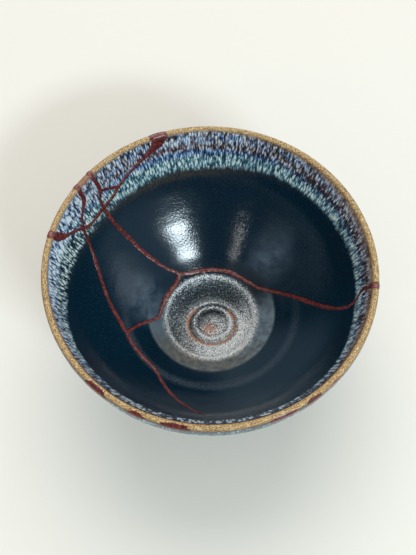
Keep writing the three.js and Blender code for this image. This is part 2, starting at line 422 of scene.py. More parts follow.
def points_of(piece):
    """A piece's points, in millimetres."""
    flat = np.zeros(len(piece.data.vertices) * 3, np.float32)
    piece.data.vertices.foreach_get("co", flat)
    return flat.reshape(-1, 3).astype(float) / MM


def body_labels(piece):
    """A number for each point of a mesh, the same for all points of one separate body."""
    ends = np.zeros(len(piece.data.edges) * 2, np.int32)
    piece.data.edges.foreach_get("vertices", ends)
    one_end, other_end = ends.reshape(-1, 2).T
    label = np.arange(len(piece.data.vertices))
    while True:
        lowest = np.minimum(label[one_end], label[other_end])
        lowered = label.copy()
        np.minimum.at(lowered, one_end, lowest)
        np.minimum.at(lowered, other_end, lowest)
        lowered = lowered[lowered]
        if (lowered == label).all():
            return label
        label = lowered


def loose_parts(piece):
    """The separate bodies of a mesh, as a list of (points, faces)."""
    points = points_of(piece)
    label = body_labels(piece)
    faces = [tuple(face.vertices) for face in piece.data.polygons]
    owner = np.array([label[face[0]] for face in faces])
    parts = []
    for body in np.unique(label):
        own_points = np.nonzero(label == body)[0]
        number = np.full(len(points), -1)
        number[own_points] = np.arange(len(own_points))
        own_faces = [tuple(int(number[v]) for v in faces[i]) for i in np.nonzero(owner == body)[0]]
        parts.append((points[own_points], own_faces))
    return parts


# The bowl before it broke


def foot_profile():
    """The foot ring and its recess, from the outside inwards, as (radius, height)."""
    inner = FOOT_RADIUS - FOOT_RING_WIDTH
    ring = [
        (FOOT_RADIUS + 0.5, 4.6), (FOOT_RADIUS + 0.25, 3.0), (FOOT_RADIUS + 0.05, 1.7), (FOOT_RADIUS, 0.9),
        (FOOT_RADIUS - 0.18, 0.42), (FOOT_RADIUS - 0.5, 0.12), (FOOT_RADIUS - 0.95, 0.0),
        (FOOT_RADIUS - 2.3, 0.0), (inner + 0.55, 0.0), (inner + 0.15, 0.15), (inner - 0.05, 0.5),
        (inner - 0.4, 2.2), (inner - 0.75, 3.8), (inner - 1.1, 4.3), (inner - 1.8, FOOT_RECESS),
    ]
    recess = [(inner * t, FOOT_RECESS + 0.12 * math.cos(t * 21)) for t in np.linspace(0.88, 0.06, 18)]
    return ring + recess


def turned_bowl():
    """The whole unbroken bowl as one closed mesh."""
    above_crease = CREASE_RUN - 4
    past_lip = LIP_RUN + 1
    runs = np.r_[
        np.linspace(DEEPEST_RUN, above_crease, FLOOR_STEPS)[1:],
        np.linspace(above_crease, past_lip, WALL_STEPS)[1:],
        np.linspace(past_lip, -past_lip, LIP_STEPS)[1:],
        -np.linspace(past_lip, FOOT_RUN, OUTER_STEPS)[1:],
    ]
    azimuths = np.arange(TURN_STEPS) * 360 / TURN_STEPS
    rows = [wall(azimuths, run) for run in runs]
    angles = np.radians(azimuths)
    for radius, height in foot_profile():
        uneven = radius + 0.05 * np.cos(3 * angles + height)
        level = np.full_like(angles, height)
        rows.append(np.stack([uneven * np.cos(angles), uneven * np.sin(angles), level], -1))
    floor_middle = wall(0.0, DEEPEST_RUN)[None]
    recess_middle = np.array([[0.0, 0.0, FOOT_RECESS]])
    points = np.concatenate([*rows, floor_middle, recess_middle])
    bowl = mesh_object("bowl", points, pointed_faces(len(rows), TURN_STEPS))
    face_outwards(bowl)
    return bowl


# The lacquer in the cracks


def route_stations(route):
    """Stations along a crack's route, as (azimuth, run, width), equally spaced on the wall."""
    stops = np.array(route, float)
    stops = np.vstack([2 * stops[0] - stops[1], stops, 2 * stops[-1] - stops[-2]])
    last = len(stops) - 3
    spans = []
    for i in range(1, last + 1):
        before, start, end, after = stops[i - 1 : i + 3]
        pairs = ((before, start), (start, end), (end, after))
        gap_before, gap, gap_after = [max(float(np.linalg.norm(b - a)), 1e-4) ** 0.5 for a, b in pairs]
        leaving = (start - before) / gap_before - (end - before) / (gap_before + gap) + (end - start) / gap
        arriving = (end - start) / gap - (after - start) / (gap + gap_after) + (after - end) / gap_after
        along = np.linspace(0, 1, ROUTE_STEPS, endpoint=i == last)[:, None]
        spans.append(cubic(start, end, leaving * gap, arriving * gap, along))
    fine = np.vstack(spans)
    spots = wall(fine[:, 0], fine[:, 1])
    distance = np.r_[0, np.cumsum(np.linalg.norm(np.diff(spots, axis=0), axis=1))]
    steps = np.linspace(0, distance[-1], max(4, int(distance[-1] / SEAM_STEP)))
    stations = np.stack([np.interp(steps, distance, fine[:, k]) for k in range(3)], -1)
    return round_off(round_off(stations)[::-1])[::-1]


def round_off(stations):
    """Runs a seam's first end on by half its width and rounds it, unless that end is on the lip."""
    if stations[0, 1] < AT_LIP:
        return stations
    first, second = wall(*stations[0, :2]), wall(*stations[1, :2])
    back = (stations[0] - stations[1]) / np.linalg.norm(first - second)
    width = stations[0, 2]
    cap = []
    for reach in (0.96, 0.75, 0.4):
        station = stations[0] + back * (reach * width / 2)
        station[2] = width * math.sqrt(1 - reach * reach)
        cap.append(station)
    return np.vstack([cap, stations])


def outer_run(run):
    """The signed run on the outside that lies opposite a run on the inside."""
    down = np.clip((run - LIP_RUN) / SEAM_FOOT_RUN, 0, SEAM_LOWEST) * (FOOT_RUN - LIP_RUN)
    return -np.where(run < LIP_RUN, run, LIP_RUN + down)


def brushed_edges(width, seed, lap):
    """A seam's half widths to the left and right and its swelling, uneven as a brush leaves them."""
    steps = np.arange(len(width)) * SEAM_STEP
    spots = np.stack([steps, np.full_like(steps, seed * 7.0), np.zeros_like(steps)], -1)
    left = width / 2 * (1 + 0.10 * waves(spots, 3.1, seed) + 0.05 * waves(spots, 1.7, seed + 1)) - lap
    right = width / 2 * (1 + 0.10 * waves(spots, 2.7, seed + 2) + 0.05 * waves(spots, 1.9, seed + 3)) - lap
    swell = 1 + 0.22 * waves(spots, 2.3, seed + 4)
    return np.maximum(left, THINNEST_HALF), np.maximum(right, THINNEST_HALF), swell


def of_length_one(first, second):
    """The two parts of a direction, scaled so that its length is 1."""
    size = np.maximum(np.hypot(first, second), 1e-9)
    return first / size, second / size


def seam_sides(azimuth, run, here, calm):
    """Which way a seam's side lies from its middle line, as its parts down and round the wall."""
    angle = np.radians(azimuth)
    forward = np.gradient(here, axis=0)
    sideways = np.stack([-np.sin(angle), np.cos(angle), np.zeros_like(angle)], -1)
    down = wall(azimuth, run + 0.2) - wall(azimuth, run - 0.2)
    down /= np.linalg.norm(down, axis=1)[:, None]
    forward_down, forward_round = of_length_one((forward * down).sum(1), (forward * sideways).sum(1))
    forward_down, forward_round = of_length_one(forward_down, forward_round * calm)
    return -forward_round, forward_down


def seam_face(azimuth, run, face, calm, edges, rise, past):
    """The rows of points across a seam's face, 1 on the inside of the wall or -1 on the outside."""
    here = wall(azimuth, run)
    side_down, side_round = seam_sides(azimuth, run, here, calm)
    left, right, swell = edges
    radius = np.maximum(np.hypot(here[:, 0], here[:, 1]), 1.0)
    rows = []
    for across in np.linspace(-1, 1, SEAM_ROWS):
        half = np.where(across < 0, left, right) * across
        dome = rise * swell * math.sqrt(max(0.0, 1 - across * across))
        proud = dome - SEAM_SUNK * (abs(across) > 0.99) + past
        turned = azimuth + np.degrees(face * side_round * half / radius)
        rows.append(wall(turned, run + face * side_down * half, proud))
    return np.stack(rows, 1)


def seam_bar(route, seed, lap, rise, past):
    """One crack's lacquer as a closed bar through the wall, domed on both faces. lap is taken off
    each side, and past makes it stand clear of the wall."""
    stations = route_stations(route)
    azimuth, run, width = stations.T
    at_lip = [run[0] < AT_LIP, run[-1] < AT_LIP]
    calm = smooth(run, 0.5, 4.0) if any(at_lip) else np.ones_like(run)
    edges = brushed_edges(width, seed, lap)
    inner = seam_face(azimuth, run, 1, calm, edges, rise, past)
    outer = seam_face(azimuth, outer_run(run), -1, calm, edges, rise, past)
    for end, there in zip((0, -1), at_lip):
        if there:
            outer[end] = inner[end]
    rings = np.concatenate([inner, outer[:, ::-1]], 1)
    return weld_ends(rings, at_lip)


def weld_ends(rings, at_lip):
    """A bar's points and faces, its two sides joined at the crown of the lip, where it has no thickness."""
    rows, columns = rings.shape[:2]
    lip_rows = [row for row, there in zip((0, rows - 1), at_lip) if there]
    same = np.arange(rows * columns)
    for row in lip_rows:
        for j in range(columns // 2):
            same[row * columns + columns - 1 - j] = row * columns + j
    flat_caps = {frozenset(int(same[row * columns + j]) for j in range(columns)) for row in lip_rows}
    kept = []
    for face in bar_faces(rows, columns):
        welded = tuple(dict.fromkeys(int(same[v]) for v in face))
        if len(welded) > 2 and frozenset(welded) not in flat_caps:
            kept.append(welded)
    used = sorted({v for face in kept for v in face})
    number = {v: i for i, v in enumerate(used)}
    return rings.reshape(-1, 3)[used], [tuple(number[v] for v in face) for face in kept]


def all_seams(lap, rise, past):
    """Every crack's bar, joined into one network."""
    network = None
    for count, route in enumerate(SEAMS.values()):
        points, faces = seam_bar(route, count * 10 + 40, lap, rise, past)
        bar = mesh_object("seams", points, faces)
        face_outwards(bar)
        network = bar if network is None else combine(network, bar, "UNION")
    return network


# The chips


def chip_bite(start, end, depth, seed):
    """The hollow that a chip leaves, as a lumpy closed solid."""
    half_sizes = [depth, RIM_RADIUS * math.radians(end - start) / 2, CHIP_HALF_HEIGHT]
    ball = []
    for i in range(BITE_RINGS + 1):
        polar = math.pi * i / BITE_RINGS
        for j in range(BITE_TURNS):
            around = 2 * math.pi * j / BITE_TURNS
            out, up = math.sin(polar) * math.cos(around), math.sin(polar) * math.sin(around)
            ball.append((out, math.cos(polar), up))
    points = np.array(ball)
    points *= (1 + 0.07 * waves(points * half_sizes, 2.2, seed))[:, None]
    points *= half_sizes
    middle = (start + end) / 2
    points += [RIM_RADIUS + rim_swell(middle), 0, BOWL_HEIGHT - LIP_RADIUS / 2]
    cosine, sine = math.cos(math.radians(middle)), math.sin(math.radians(middle))
    points = points @ np.array([[cosine, sine, 0], [-sine, cosine, 0], [0, 0, 1]])
    first, last = points[:BITE_TURNS].mean(0), points[-BITE_TURNS:].mean(0)
    points = np.concatenate([points[BITE_TURNS:-BITE_TURNS], first[None], last[None]])
    bite = mesh_object("bite", points, pointed_faces(BITE_RINGS - 1, BITE_TURNS))
    face_outwards(bite)
    return bite


def fill_blank(start, end):
    """The lip past both ends of a chip, a little proud of the clay, as a closed solid."""
    steps = int((end - start + 2 * FILL_MARGIN) / FILL_STEP)
    azimuths = np.linspace(start - FILL_MARGIN, end + FILL_MARGIN, steps)
    inside_run, outside_run = FILL_RUNS
    skin = [wall(azimuths, run, CHIP_PROUD) for run in np.linspace(inside_run, outside_run, FILL_ROWS)]
    core = [wall(azimuths, run, -FILL_DEPTH) for run in (outside_run, inside_run)]
    rings = np.stack([*skin, *core], 1)
    blank = mesh_object("blank", rings.reshape(-1, 3), bar_faces(*rings.shape[:2]))
    face_outwards(blank)
    return blank


# What the glaze reads from the mesh


def band_edge(azimuth):
    """The run at which the pale band ends on the inside, smoothed between the azimuths it is given for."""
    keys = sorted(BAND_EDGE)
    given = np.array([key + turn for turn in (-360, 0, 360) for key in keys], float)
    edges = np.array([BAND_EDGE[key] for key in keys] * 3)
    azimuths = np.arange(-90, 450, 2.0)
    kernel = np.hanning(9)
    padded = np.pad(np.interp(azimuths, given, edges), 4, mode="edge")
    smoothed = np.convolve(padded, kernel / kernel.sum(), "valid")
    return np.interp(azimuth % 360, azimuths, smoothed)


PROFILE_RUNS = np.r_[np.arange(0, DEEPEST_RUN, 0.35), -np.arange(0.3, FOOT_RUN, 0.35)]
PROFILE_RADII, PROFILE_HEIGHTS = turned_profile(PROFILE_RUNS)
POINTS_AT_ONCE = 4000


def nearest_run(radius, height, azimuth):
    """The signed run of the turned wall that lies nearest to each point."""
    turned_radius = radius - rim_swell(azimuth) * (1 - smooth(BOWL_HEIGHT - height, 4, 46))
    run = np.empty(len(radius))
    for start in range(0, len(radius), POINTS_AT_ONCE):
        part = slice(start, start + POINTS_AT_ONCE)
        out = turned_radius[part, None] - PROFILE_RADII
        up = height[part, None] - PROFILE_HEIGHTS
        run[part] = PROFILE_RUNS[np.argmin(out**2 + up**2, 1)]
    return run


def lip_stain(azimuth, run):
    """How much red shows on the lip: a worn place at the back left, and small touches at the right."""
    outer_edge = smooth(-run, 0.2, 0.9) * (run > -3)
    stain = 0.75 * bump_at(azimuth, *WORN_LIP_TOP) * np.exp(-((run / 2.8) ** 2))
    stain += (0.9 * bump_at(azimuth, *RED_TOUCH_RIGHT) + bump_at(azimuth, *RED_TOUCH_NEAR)) * outer_edge
    stain += bump_at(azimuth, *WORN_LIP_EDGE) * smooth(-run, 0.9, 1.5) * (run > -2.6)
    return np.clip(stain, 0, 1)


def below_glaze_line(azimuth, run, radius, height):
    """How far a point lies below the line on the foot where the glaze ends."""
    line = 3.2 + 0.7 * np.cos(np.radians(azimuth * 3 + 40)) + 0.4 * np.cos(np.radians(azimuth * 7))
    below = np.where((run <= 0) & (height < 30), line - height, -20)
    in_recess = (radius < FOOT_RADIUS - 2) & (height < FOOT_HEIGHT) & (run <= 0)
    return np.where(in_recess, 5, below)


def glaze_attributes(piece):
    """Writes at each point its signed run; its share of the way down the pale band; how much it lies in
    the streaky left, the brown fringe at the back, the near side and the right; its share of the way
    over the smoky edge under the lip; the red on the lip; and its depth below the foot's glaze line."""
    points = points_of(piece)
    height = points[:, 2]
    radius = np.hypot(points[:, 0], points[:, 1])
    azimuth = np.degrees(np.arctan2(points[:, 1], points[:, 0]))
    run = nearest_run(radius, height, azimuth)
    edge_in = band_edge(azimuth)
    edge_out = 17 + 3 * np.cos(np.radians(azimuth * 2 + 30)) + 2 * np.cos(np.radians(azimuth * 5))
    near = bump_at(azimuth, *NEAR_SIDE)
    right = bump_at(azimuth, *RIGHT_SIDE)
    values_of = {
        "run": run,
        "share": np.where(run > 0, run / edge_in, -run / edge_out),
        "wild": bump_at(azimuth, *STREAKY_LEFT),
        "fringe": bump_at(azimuth, *BROWN_BACK),
        "haze": np.abs(run) / (2.3 + 2.9 * right + np.where(run > 0, 0.22 * edge_in, 0) * near),
        "near": near,
        "right": right,
        "stain": lip_stain(azimuth, run),
        "below_line": below_glaze_line(azimuth, run, radius, height),
    }
    for name, values in values_of.items():
        layer = piece.data.attributes.new(name, "FLOAT", "POINT")
        layer.data.foreach_set("value", values.astype(np.float32))


# Shader maths


def srgb(*levels):
    """A colour given as 0 to 255 levels, as the linear values that a shader wants."""
    linear = []
    for level in levels:
        value = level / 255
        linear.append(value / 12.92 if value <= 0.04045 else ((value + 0.055) / 1.055) ** 2.4)
    return (*linear, 1.0)


class Wire:
    """One output in a material. Arithmetic on it adds the nodes that work it out."""

    def __init__(self, tree, socket):
        self.tree = tree
        self.socket = socket

    def node(self, kind, settings=None, inputs=None, out=0):
        """Adds a node: its settings first, then the values or wires of its sockets."""
        made = self.tree.nodes.new(kind)
        for key, value in (settings or {}).items():
            if key == "stops":
                stops = made.color_ramp.elements
                while len(stops) < len(value):
                    stops.new(0.5)
                for stop, (place, colour) in zip(stops, value):
                    stop.position = place
                    stop.color = colour
            else:
                setattr(made, key, value)
        connect(self.tree, made, inputs or {})
        return Wire(self.tree, made.outputs[out])

    def math(self, operation, first, second=0.0, clamp=False):
        settings = {"operation": operation, "use_clamp": clamp}
        return self.node("ShaderNodeMath", settings, {0: first, 1: second})

    def vector_math(self, operation, second=(0.0, 0.0, 0.0), out=0):
        return self.node("ShaderNodeVectorMath", {"operation": operation}, {0: self, 1: second}, out)

    def __add__(self, other):
        return self.math("ADD", self, other)

    def __sub__(self, other):
        return self.math("SUBTRACT", self, other)

    def __mul__(self, other):
        return self.math("MULTIPLY", self, other)

    def __truediv__(self, other):
        return self.math("DIVIDE", self, other)

    def __radd__(self, other):
        return self.math("ADD", self, other)

    def __rsub__(self, other):
        return self.math("SUBTRACT", other, self)

    def absolute(self):
        return self.math("ABSOLUTE", self)

    def clamped(self):
        return self.math("ADD", self, 0.0, clamp=True)

    def rise(self, low, high):
        """0 at low, 1 at high and smooth between, whichever of the two is greater."""
        return self.node(
            "ShaderNodeMapRange",
            {"interpolation_type": "SMOOTHSTEP"},
            {"Value": self, "From Min": low, "From Max": high, "To Min": 0.0, "To Max": 1.0},
        )

    def hump(self, middle, spread):
        """1 at middle, falling to 0 at a spread either side."""
        return 1 - ((self - middle) / spread).absolute().rise(0.0, 1.0)

    def stretch(self, x, y, z):
        return self.vector_math("MULTIPLY", (x, y, z))

    def unit(self):
        return self.vector_math("NORMALIZE")

    def length(self):
        return self.vector_math("LENGTH", out="Value")

    def axis(self, name):
        return self.node("ShaderNodeSeparateXYZ", {}, {0: self}, name)

    def raised(self, height):
        return self.vector_math("ADD", self.node("ShaderNodeCombineXYZ", {}, {"Z": height}))

    def noise(self, scale, detail, rough, distortion=0.0):
        return self.node(
            "ShaderNodeTexNoise",
            {"noise_dimensions": "3D"},
            {"Vector": self, "Scale": scale, "Detail": detail, "Roughness": rough, "Distortion": distortion},
        )

    def cells(self, scale):
        return self.node("ShaderNodeTexVoronoi", {}, {"Vector": self, "Scale": scale}, "Distance")

    def ramp(self, *stops):
        return self.node("ShaderNodeValToRGB", {"stops": stops}, {"Fac": self})

    def over(self, below, above):
        """below where this wire is 0, above where it is 1."""
        settings = {"data_type": "RGBA", "clamp_factor": True}
        return self.node("ShaderNodeMix", settings, {0: self, 6: below, 7: above}, 2)


def connect(tree, node, sockets):
    """Gives a node's sockets their values or wires."""
    for key, value in sockets.items():
        if isinstance(value, Wire):
            tree.links.new(value.socket, node.inputs[key])
        else:
            node.inputs[key].default_value = value


def new_material(name):
    """An empty material with its Principled shader, and a first wire to build from."""
    material = bpy.data.materials.new(name)
    material.use_nodes = True
    tree = material.node_tree
    shader = next(node for node in tree.nodes if node.type == "BSDF_PRINCIPLED")
    return material, shader, Wire(tree, None)


def attribute(start, name):
    """A value that glaze_attributes wrote."""
    settings = {"attribute_type": "GEOMETRY", "attribute_name": name}
    return start.node("ShaderNodeAttribute", settings, {}, "Fac")


def place_in_mm(start):
    """A point's place in the bowl's own frame, in millimetres."""
    return start.node("ShaderNodeTexCoord", {}, {}, "Object").stretch(1 / MM, 1 / MM, 1 / MM)


def bump_of(start, height):
    """A normal from a height in millimetres."""
    return start.node("ShaderNodeBump", {}, {"Strength": 1.0, "Distance": MM, "Height": height})


def floor_distance(place, x, y, squash):
    """Distance from a spot on the floor, told as greater towards the near and far side when squashed."""
    off = place.vector_math("SUBTRACT", (x, y, 0))
    return off.stretch(1, squash, 0).length()


def circle(place, x, y, squash, radius, spread):
    """1 along a ring on the floor, falling to 0 at a spread either side."""
    return floor_distance(place, x, y, squash).hump(radius, spread)


# Colours of the band, from its darkest tone to its palest
WARM_MOTTLE = (
    (0.38, srgb(36, 28, 28)), (0.44, srgb(98, 72, 56)), (0.50, srgb(128, 122, 128)),
    (0.56, srgb(170, 186, 200)), (0.64, srgb(228, 236, 238)),
)
COOL_MOTTLE = (
    (0.38, srgb(26, 34, 52)), (0.44, srgb(60, 86, 126)), (0.50, srgb(106, 138, 176)),
    (0.56, srgb(160, 184, 208)), (0.64, srgb(228, 236, 238)),
)
RUSTY = (
    (0.40, srgb(30, 26, 28)), (0.47, srgb(100, 70, 48)), (0.53, srgb(112, 108, 116)),
    (0.60, srgb(176, 188, 204)),
)
COBALT = (
    (0.38, srgb(26, 36, 54)), (0.46, srgb(52, 88, 134)), (0.54, srgb(96, 138, 186)),
    (0.63, srgb(190, 208, 224)),
)
PALE = (
    (0.39, srgb(34, 56, 68)), (0.46, srgb(82, 122, 140)), (0.53, srgb(140, 178, 188)),
    (0.61, srgb(222, 232, 220)),
)
STREAKY = (
    (0.38, srgb(26, 34, 52)), (0.42, srgb(76, 106, 148)), (0.47, srgb(144, 180, 206)),
    (0.54, srgb(228, 238, 242)),
)
DARK_TICKS = (
    (0.42, srgb(14, 28, 36)), (0.475, srgb(52, 90, 106)), (0.52, srgb(126, 160, 170)),
    (0.58, srgb(224, 232, 222)),
)
NEAR_DOTS = ((0.30, srgb(222, 232, 238)), (0.46, srgb(124, 148, 168)), (0.60, srgb(42, 44, 58)))
SMOKY = ((0.40, srgb(88, 72, 68)), (0.48, srgb(136, 116, 106)), (0.56, srgb(176, 160, 148)))
LEFT_SMOKE = srgb(146, 142, 168)
NEAR_SMOKE = srgb(54, 38, 42)
BROWN_DUSK = srgb(66, 50, 44)
BLUE_DUSK = srgb(28, 36, 54)
OUTSIDE_TEAL = srgb(66, 88, 98)

# Colours of the wall below the band
BLUE_BLACK = ((0.35, srgb(4, 24, 37)), (0.6, srgb(8, 36, 51)), (0.78, srgb(40, 62, 74)))
BROWN_SKIRT = ((0.4, srgb(24, 29, 33)), (0.65, srgb(78, 72, 64)))
# the wall made lighter low at the near right
NEAR_RIGHT_LIGHTER = srgb(46, 62, 74)
# painted sheen: streaky blue-grey reflections on the wall left and right of the well
SHEEN_LEFT_OF_WELL = srgb(92, 108, 122)
SHEEN_RIGHT_OF_WELL = srgb(84, 100, 118)
# painted highlight along the low ridge on the near wall
RIDGE_PAINTED_HIGHLIGHT = srgb(78, 88, 98)

# Colours of the well
# greys of the dish, up to the white of its painted sparkle
DISH_GREYS = (
    (0.0, srgb(18, 30, 38)), (0.35, srgb(62, 76, 82)), (0.68, srgb(150, 158, 162)),
    (0.95, srgb(234, 236, 234)),
)
DRY_GREYS = ((0.35, srgb(70, 78, 82)), (0.65, srgb(110, 112, 108)))
# painted sheen, painted light and painted shade on the collar
COLLAR_SIDE_SHEEN = srgb(92, 108, 118)
COLLAR_PAINTED_LIGHT = srgb(120, 136, 146)
COLLAR_PAINTED_SHADE = srgb(30, 42, 52)
RUST = srgb(184, 118, 76)

# Colours of the lip and the foot
LIP_TAN = (
    (0.37, srgb(74, 50, 30)), (0.44, srgb(142, 106, 62)), (0.53, srgb(188, 154, 100)),
    (0.63, srgb(228, 206, 160)),
)
LIP_OUTER_TAN = srgb(104, 72, 42)
LIP_DARK_LINE = srgb(56, 42, 36)
LIP_RED = srgb(128, 70, 66)
BARE_CLAY = ((0.35, srgb(122, 88, 62)), (0.55, srgb(166, 126, 90)), (0.72, srgb(196, 160, 122)))
GLAZE_END = srgb(70, 44, 30)

# Rings and round patches of the glaze and of its painted sheen, highlights and shade, as (x, y, squash,
# radius, spread)
# where the painted sheen lies, left and right of the well
SHEEN_LEFT_PATCH = (-31.0, 4.0, 1.0, 0.0, 17.0)
SHEEN_RIGHT_PATCH = (31.0, 26.0, 1.0, 0.0, 16.0)
RIDGE_LINE = (1.0, 0.0, 1.0, 42.6, 3.2)
OUTER_CREST = (0.9, -0.2, 1.0, 22.8, 2.0)
OUTER_GROOVE = (1.2, -0.6, 1.0, 18.5, 5.0)
SHADED_GROOVE = (1.5, -0.6, 1.0, 16.0, 6.0)
MIDDLE_CREST = (2.4, -3.4, 1.10, 14.0, 1.9)
MIDDLE_GROOVE = (2.2, -2.7, 1.08, 11.4, 1.6)
INNER_CREST = (2.1, -2.0, 1.06, 9.3, 1.4)
INNER_GROOVE = (2.1, -2.0, 1.06, 6.2, 2.6)
CENTRE_KNOB = (2.6, -0.9, 2.4, 0.0, 2.6)
RUST_RING = (1.5, -3.2, 1.14, 12.4, 1.5)
RUST_CENTRE = (0.6, -5.4, 1.0, 0.6, 4.6)
RUST_SPOTS = (-8.0, -16.0, 1.0, 0.0, 14.0)


# The glaze


class Glaze:
    """What the parts of the glaze share: what the mesh says, a point's place, and the unevenness."""

    def __init__(self, start):
        self.run = attribute(start, "run")
        self.share = attribute(start, "share")
        self.wild = attribute(start, "wild")
        self.fringe = attribute(start, "fringe")
        self.haze = attribute(start, "haze")
        self.near = attribute(start, "near")
        self.right = attribute(start, "right")
        self.stain = attribute(start, "stain")
        self.below_line = attribute(start, "below_line")
        self.place = place_in_mm(start)
        self.ring = self.place.stretch(1, 1, 0).unit().stretch(73, 73, 73)

        # streaks that run down the wall, and finer and broader unevenness
        self.fur = self.down_wall(0.28).noise(1.7, 1, 0.5, 0.1)
        self.fine = self.down_wall(0.5).noise(3.4, 1, 0.5)
        self.tick = self.down_wall(0.32).cells(0.92)
        self.hue = self.down_wall(0.3).noise(0.8, 2, 0.6)
        self.grain = self.down_wall(2.0).noise(1.5, 3, 0.7)
        self.blotch = self.place.noise(0.11, 2, 0.5)
        self.speck = self.place.noise(1.4, 3, 0.7)
        self.smoke = self.place.noise(0.35, 4, 0.6)
        self.sparkle = self.place.noise(1.7, 2, 0.6)
        mottling = self.fur * 0.46 + self.fine * 0.22 + (0.50 - self.tick) * 0.36
        self.tone = mottling + 0.152 + (self.blotch - 0.5) * 0.12

        # where the band ends, raggedly, and which way a point of the floor or wall faces
        streaks = (self.fur - 0.5) * 0.22 + (self.fine - 0.5) * 0.12
        self.level = self.share + streaks + (self.blotch - 0.5) * 0.12
        self.ragged = self.level + (self.speck - 0.5) * 0.10
        self.low = self.run.rise(10, 20)
        self.off_centre = floor_distance(self.place, FLOOR_SHIFT, 0.0, 1.0)
        self.far = self.place.axis("Y") / (self.off_centre + 1.0)
        self.rightward = self.place.axis("X") / (self.off_centre + 1.0)

        # masks of the collar round the dish, the well, the lip and the bare clay
        self.collar = self.off_centre.rise(22.8, 25.6)
        glossy_far = (self.far * 0.9 - self.rightward * 0.6).rise(0.25, 0.75) * self.collar
        well_edge = self.off_centre + (self.speck - 0.5) * 1.4
        well = (1 - well_edge.rise(CREASE_RADIUS - 1.2, CREASE_RADIUS + 0.5)) * self.low
        self.well = well * (1 - glossy_far)
        self.off_lip = self.run.absolute() + (self.grain - 0.5) * 0.7 + (self.blotch - 0.5) * 0.6
        self.foot_edge = self.below_line + (self.fine - 0.5) * 0.8
        self.bare = self.foot_edge.rise(-0.12, 0.12)

    def down_wall(self, pace):
        """A place that moves on slowly down the wall, so that noise on it makes streaks."""
        return self.ring.raised(self.run * pace)


def inside_band(glaze):
    """The band inside the rim: mottled, then rusty, cobalt and pale ticks from the lip down, streaky at
    the left and dotted at the near side."""
    mottle = glaze.hue.rise(0.45, 0.55).over(glaze.tone.ramp(*WARM_MOTTLE), glaze.tone.ramp(*COOL_MOTTLE))
    band = (glaze.level.hump(0.42, 0.11) * 0.9).over(mottle, glaze.tone.ramp(*RUSTY))
    band = (glaze.level - glaze.right * 0.10).rise(0.46, 0.54).over(band, glaze.tone.ramp(*COBALT))
    band = (glaze.level - glaze.right * 0.09).rise(0.57, 0.66).over(band, glaze.tone.ramp(*PALE))
    dusk = glaze.hue.rise(0.46, 0.54).over(BROWN_DUSK, BLUE_DUSK)
    dusky = glaze.level.hump(0.55, 0.13) * (glaze.right * 1.5).clamped() * glaze.tone.rise(0.66, 0.50) * 1.3
    band = dusky.over(band, dusk)
    left_band = glaze.level.rise(0.46, 0.60).over(glaze.tone.ramp(*STREAKY), glaze.tone.ramp(*DARK_TICKS))
    band = (glaze.wild * 1.1).over(band, left_band)
    dots = (glaze.down_wall(0.22).cells(0.62) + (glaze.fine - 0.5) * 0.3).ramp(*NEAR_DOTS)
    return (glaze.near * 0.95 * glaze.run.rise(0.0, 1.0)).over(band, dots)


def outside_band(glaze):
    """The band outside the rim, paler and more broken."""
    broken = glaze.blotch.rise(0.4, 0.6) * 0.6
    band = broken.over(glaze.tone.ramp(*PALE), glaze.tone.ramp(*STREAKY))
    return (glaze.blotch + (glaze.fur - 0.5) * 0.8).rise(0.36, 0.60).over(band, OUTSIDE_TEAL)


def band_colour(glaze):
    """The whole band, with the smoky edge where it thins out towards the lip."""
    band = glaze.run.rise(-1.2, -2.2).over(inside_band(glaze), outside_band(glaze))
    smoky = (glaze.tone * 0.6 + glaze.blotch * 0.4).ramp(*SMOKY)
    smoky = glaze.wild.over(smoky, LEFT_SMOKE)
    smoky = (glaze.near * 1.2).over(smoky, NEAR_SMOKE)
    return (glaze.haze + (glaze.fur - 0.5) * 0.7).rise(0.75, 1.25).over(smoky, band)


def wall_colour(glaze):
    """The band and the blue-black wall under it, lighter low at the near right, with painted sheen low at
    both sides and a painted highlight along the ridge.
    """
    skirt = glaze.ragged.rise(0.88, 0.98) * (1 - glaze.ragged.rise(1.02, 1.14)) * glaze.fringe
    colour = glaze.ragged.rise(0.88, 1.0).over(band_colour(glaze), glaze.speck.ramp(*BLUE_BLACK))
    colour = (skirt * 0.9).over(colour, glaze.fine.ramp(*BROWN_SKIRT))
    # the wall lighter low on the near right
    lighter_near_right = (glaze.far * glaze.rightward * -1.6 - glaze.far * 0.28).rise(0.1, 0.9) * glaze.run.rise(20, 40)
    colour = (lighter_near_right * 0.75).over(colour, NEAR_RIGHT_LIGHTER)
    # painted sheen in streaky patches left and right of the well
    sheen_streaks = glaze.place.noise(0.16, 3, 0.6).rise(0.2, 0.8) * glaze.low
    colour = (circle(glaze.place, *SHEEN_LEFT_PATCH) * sheen_streaks * 0.85).over(colour, SHEEN_LEFT_OF_WELL)
    colour = (circle(glaze.place, *SHEEN_RIGHT_PATCH) * sheen_streaks * 0.7).over(colour, SHEEN_RIGHT_OF_WELL)
    # painted highlight along the ridge, on the near side only
    ridge_highlight = circle(glaze.place, *RIDGE_LINE) * glaze.far.rise(0.25, -0.6)
    return (ridge_highlight * glaze.speck.rise(0.3, 0.6) * 0.6).over(colour, RIDGE_PAINTED_HIGHLIGHT)


